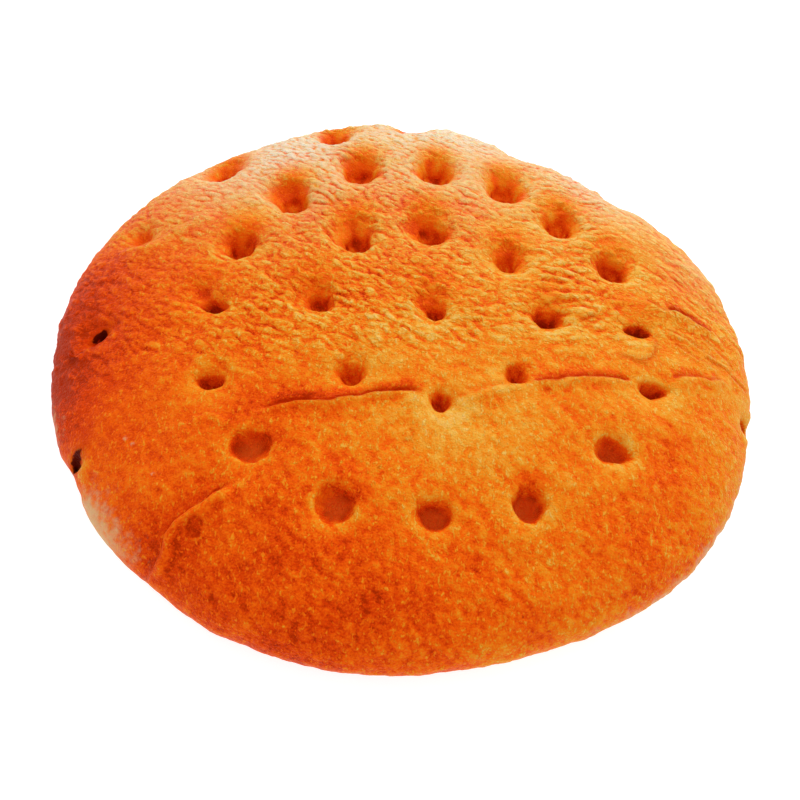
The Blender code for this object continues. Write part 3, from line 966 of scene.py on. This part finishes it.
# %% [markdown]
# The material is baked crust: a skin of dough that the oven dried and browned, satin and not
# glossy, so it shows its colour from every side. A painted texture could hold it too, but nodes
# stay sharp at any size. All nodes are added by one helper. The colours are written as hex values,
# and one function turns them into the linear values that the shader needs.

# %% Helpers for the material
def linear(hex_colour):
    """The linear red, green, blue and alpha of an sRGB hex colour."""
    channels = [int(hex_colour[index:index + 2], 16) / 255 for index in (1, 3, 5)]
    return (*(c / 12.92 if c <= 0.04045 else ((c + 0.055) / 1.055) ** 2.4 for c in channels), 1)


def add_node(tree, kind, settings=(), inputs=()):
    """Adds a node. Inputs are values, or the sockets that feed them."""
    node = tree.nodes.new(kind)
    for name, value in dict(settings).items():
        setattr(node, name, value)
    for name, value in dict(inputs).items():
        if isinstance(value, bpy.types.NodeSocket):
            tree.links.new(value, node.inputs[name])
        else:
            node.inputs[name].default_value = value
    return node


# %% [markdown]
# A crust is mottled at several sizes at once: the grain of the flour, the bubbles under the skin,
# and wider patches where the heat came through. Each is a noise of its real size. The noises are
# centred on zero, weighed and added to the baking and painted shade that the skin carries, and they
# fade in the hollows, which are smooth. The sum is read through a ramp of colours from pale to dark.

# %% Patterns of the crust
PATTERNS = {
    # size, and how many octaves of finer detail
    "grain": (0.5 * MM, 1),
    "mottle": (2.2 * MM, 3),
    "patch": (9 * MM, 3),
    "region": (24 * MM, 2),
}
PATTERN_CONTRAST = 0.6
NOISE_MIDDLE = 0.5
ATTRIBUTES = (
    "browned_and_shade", "crest", "rough_skin", "wrinkled", "painted_sheen", "doughy", "burnt_and_shaded", "floury_and_rim_lit", "tear", "tear_shade_band",
)

crust = bpy.data.materials.new("baked_crust")
crust.use_nodes = True
tree = crust.node_tree
shader = tree.nodes["Principled BSDF"]
place = add_node(tree, "ShaderNodeTexCoord").outputs["Object"]
sources = {
    name: add_node(tree, "ShaderNodeAttribute", {"attribute_name": name}).outputs["Fac"]
    for name in ATTRIBUTES
}
for name, (size, detail) in PATTERNS.items():
    sources[name] = add_node(
        tree,
        "ShaderNodeTexNoise",
        {},
        {"Vector": place, "Scale": 1 / size, "Detail": detail, "Roughness": PATTERN_CONTRAST},
    ).outputs[0]

# %% [markdown]
# The skin is also pricked with tiny pale blisters, drawn out a little towards the front edge, where
# the dough slid as it rose. A stretched noise that is cut off high leaves just such dashes.

# %% Fine blisters
BLISTER_WIDTH = 0.75 * MM
BLISTER_LENGTH = 1.4 * MM
BLISTER_START = 0.58
BLISTER_FULL = 0.70

drawn_out = add_node(
    tree,
    "ShaderNodeMapping",
    {"vector_type": "TEXTURE"},
    {"Vector": place, "Scale": (BLISTER_WIDTH, BLISTER_LENGTH, BLISTER_WIDTH)},
).outputs[0]
bubbles = add_node(
    tree, "ShaderNodeTexNoise", {}, {"Vector": drawn_out, "Scale": 1, "Detail": 1},
).outputs[0]
sources["blisters"] = add_node(
    tree,
    "ShaderNodeMapRange",
    {"interpolation_type": "SMOOTHSTEP"},
    {"Value": bubbles, "From Min": BLISTER_START, "From Max": BLISTER_FULL},
).outputs[0]

# %% [markdown]
# Between its wrinkles the dry skin crinkles, finer than its faces can show: soft pads with a sharp
# crease between them, and the crease is painted darker as painted shade. The distance of a noise
# from its middle value is such a pattern, because it is zero along thin lines and round in between.

# %% Crinkles
CRINKLE_WIDTH = 1.8 * MM
CRINKLE_LENGTH = 3.0 * MM
CRINKLE_BEARING = -16
CRINKLE_TWIST = 0.6
CREASE_EDGE = 0.14

turned = add_node(
    tree,
    "ShaderNodeMapping",
    {"vector_type": "TEXTURE"},
    {
        "Vector": place,
        "Rotation": (0, 0, math.radians(CRINKLE_BEARING)),
        "Scale": (CRINKLE_LENGTH, CRINKLE_WIDTH, CRINKLE_WIDTH),
    },
).outputs[0]
pads = add_node(
    tree,
    "ShaderNodeTexNoise",
    {},
    {"Vector": turned, "Scale": 1, "Detail": 2, "Distortion": CRINKLE_TWIST},
).outputs[0]
centred = add_node(tree, "ShaderNodeMath", {"operation": "SUBTRACT"}, {0: pads, 1: NOISE_MIDDLE}).outputs[0]
from_crease = add_node(tree, "ShaderNodeMath", {"operation": "ABSOLUTE"}, {0: centred}).outputs[0]
crinkles = add_node(
    tree,
    "ShaderNodeMapRange",
    {"interpolation_type": "SMOOTHSTEP"},
    {"Value": from_crease, "From Min": 0.0, "From Max": CREASE_EDGE},
).outputs[0]
sources["crinkles"] = add_node(
    tree, "ShaderNodeMath", {"operation": "MULTIPLY"}, {0: crinkles, 1: sources["wrinkled"]},
).outputs[0]

# %% [markdown]
# A crust runs from pale gold through orange to a deep red brown, and seldom shows one tone alone.
# Every pattern adds to the baking or takes from it by its own share: a blister is paler than what
# lies round it, a crest is paler as dry skin and as a painted highlight, a trough and a crinkle's
# crease are darker as painted shade, and the skin that slid under a tear is darker as painted
# shade. Mixing a colour for each pattern would take more nodes, and the tones would drift away from
# those of real baking.

# %% Baked colours and painted shade
CRUST_COLOURS = {
    0.00: "#ecbe64",
    0.25: "#eaa63a",
    0.45: "#ec8818",
    0.65: "#ee600a",
    0.85: "#d83e06",
    1.00: "#b02c02",
}
BROWNED_BY = {
    "grain": 0.44,
    "mottle": 0.30,
    "patch": 0.35,
    "region": 0.40,
    # crests paler and troughs darker: partly dry skin, partly painted highlight and painted shade
    "crest": -0.36,
    # the skin that slid under a tear, darkened in a band as painted shade
    "tear_shade_band": 0.30,
    "blisters": -0.22,
    # crinkle pads paler as dry skin, their creases darker as painted shade
    "crinkles": -0.22,
}

bake_and_shade = sources["browned_and_shade"]
for name, share in BROWNED_BY.items():
    middle = NOISE_MIDDLE if name in PATTERNS else 0.0
    swing = add_node(
        tree, "ShaderNodeMath", {"operation": "SUBTRACT"}, {0: sources[name], 1: middle},
    ).outputs[0]
    faded = add_node(
        tree, "ShaderNodeMath", {"operation": "MULTIPLY"}, {0: swing, 1: sources["rough_skin"]},
    ).outputs[0]
    bake_and_shade = add_node(
        tree, "ShaderNodeMath", {"operation": "MULTIPLY_ADD"}, {0: faded, 1: share, 2: bake_and_shade},
    ).outputs[0]
ramp = add_node(tree, "ShaderNodeValToRGB", {}, {"Fac": bake_and_shade})
stops = ramp.color_ramp.elements
stops[0].color = linear(CRUST_COLOURS[0.00])
stops[1].color = linear(CRUST_COLOURS[1.00])
for share, colour in list(CRUST_COLOURS.items())[1:-1]:
    stops.new(share).color = linear(colour)
colour = ramp.outputs["Color"]

# %% [markdown]
# Over the baked colour lie the painted sheen, the doughy floors, the flour with its painted rim
# highlight, the painted shade of the tears, and the burns with the painted shade of the deep slits,
# each mixed in by its own attribute. The flour breaks up into streaks, so its mask is cut by the
# mottle, and a burn has a firm edge, so its mask is made steep. Separate materials would leave hard
# seams.

# %% Painted sheen, dough, flour, tear shade and burns
FLOUR_EDGE = 0.3
BURN_START = 0.35
BURN_FULL = 0.65
MIX_FACTOR, MIX_A, MIX_B, MIX_RESULT = 0, 6, 7, 2
OVERLAYS = {
    # a painted sheen of the lamp behind, on the back's crests
    "painted_sheen": "#e6d6bc",
    "doughy": "#f0641c",
    # flour, and a painted rim highlight on the front left and right flanks
    "flour_and_rim_light": "#dcaa78",
    # painted shade in the tears' creases and round the deep slits
    "tear": "#c02c00",
    # char, and painted shade inside the two deep slits at the left edge
    "char_and_shade": "#520c02",
}

ragged = add_node(
    tree, "ShaderNodeMath", {"operation": "ADD"}, {0: sources["floury_and_rim_lit"], 1: sources["mottle"]},
).outputs[0]
sources["flour_and_rim_light"] = add_node(
    tree,
    "ShaderNodeMapRange",
    {"interpolation_type": "SMOOTHSTEP"},
    {"Value": ragged, "From Min": 1 - FLOUR_EDGE, "From Max": 1 + FLOUR_EDGE},
).outputs[0]
sources["char_and_shade"] = add_node(
    tree,
    "ShaderNodeMapRange",
    {"interpolation_type": "SMOOTHSTEP"},
    {"Value": sources["burnt_and_shaded"], "From Min": BURN_START, "From Max": BURN_FULL},
).outputs[0]
for name, shade in OVERLAYS.items():
    colour = add_node(
        tree,
        "ShaderNodeMix",
        {"data_type": "RGBA"},
        {MIX_FACTOR: sources[name], MIX_A: colour, MIX_B: linear(shade)},
    ).outputs[MIX_RESULT]

# %% [markdown]
# The finest relief is left to a bump: the grain, the blisters and the crinkles are a few tenths of a
# millimetre high, finer than the skin's faces. Dry crust hardly reflects, and what it does reflect
# takes its own orange. A little light goes under the skin and comes back red, which warms the shade.

# %% Fine relief and gloss
BUMP_HEIGHT = 0.3 * MM
GRAIN_HEIGHT = 1.15
PATTERN_HEIGHTS = {"blisters": 0.5, "mottle": 0.5, "crinkles": 0.7}
SKIN = {
    "Roughness": 0.45,
    "Specular IOR Level": 0.05,
    "Specular Tint": linear("#ff9a30"),
    "Subsurface Weight": 0.35,
    "Subsurface Radius": (1.0, 0.3, 0.08),
    "Subsurface Scale": 0.6 * MM,
}

height = add_node(
    tree, "ShaderNodeMath", {"operation": "MULTIPLY"}, {0: sources["grain"], 1: GRAIN_HEIGHT},
).outputs[0]
for name, share in PATTERN_HEIGHTS.items():
    height = add_node(
        tree, "ShaderNodeMath", {"operation": "MULTIPLY_ADD"}, {0: sources[name], 1: share, 2: height},
    ).outputs[0]
bump = add_node(tree, "ShaderNodeBump", {}, {"Strength": 1.0, "Distance": BUMP_HEIGHT, "Height": height})
tree.links.new(colour, shader.inputs["Base Color"])
tree.links.new(bump.outputs["Normal"], shader.inputs["Normal"])
for name, value in SKIN.items():
    shader.inputs[name].default_value = value
loaf.data.materials.clear()
loaf.data.materials.append(crust)
print("the crust has", len(tree.nodes), "nodes")

# %% [markdown]
# The loaf lies on a light table: a white sheet that glows a little. It could be plain paper, but the
# glow keeps the floor white right up to the loaf and lifts the shade under its edge.

# %% Floor
FLOOR_SIZE = 4.0
FLOOR_COLOUR = "#b8b8b8"
FLOOR_ROUGHNESS = 0.9
FLOOR_GLOW = 0.75

bpy.ops.object.select_all(action="DESELECT")
bpy.ops.mesh.primitive_plane_add(size=FLOOR_SIZE, location=(0, 0, 0))
floor = bpy.context.object
floor.name = "floor"
sheet = bpy.data.materials.new("opal_acrylic")
sheet.use_nodes = True
opal = sheet.node_tree.nodes["Principled BSDF"]
opal.inputs["Base Color"].default_value = linear(FLOOR_COLOUR)
opal.inputs["Roughness"].default_value = FLOOR_ROUGHNESS
opal.inputs["Emission Color"].default_value = (1, 1, 1, 1)
opal.inputs["Emission Strength"].default_value = FLOOR_GLOW
floor.data.materials.append(sheet)

# %% [markdown]
# The finished loaf is shaded smooth, rides on the part's only body, and stands for the packed
# solid.

# %% Finish
select_only(loaf)
bpy.ops.object.shade_smooth()
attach(loaf, "root")
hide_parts("focaccia")
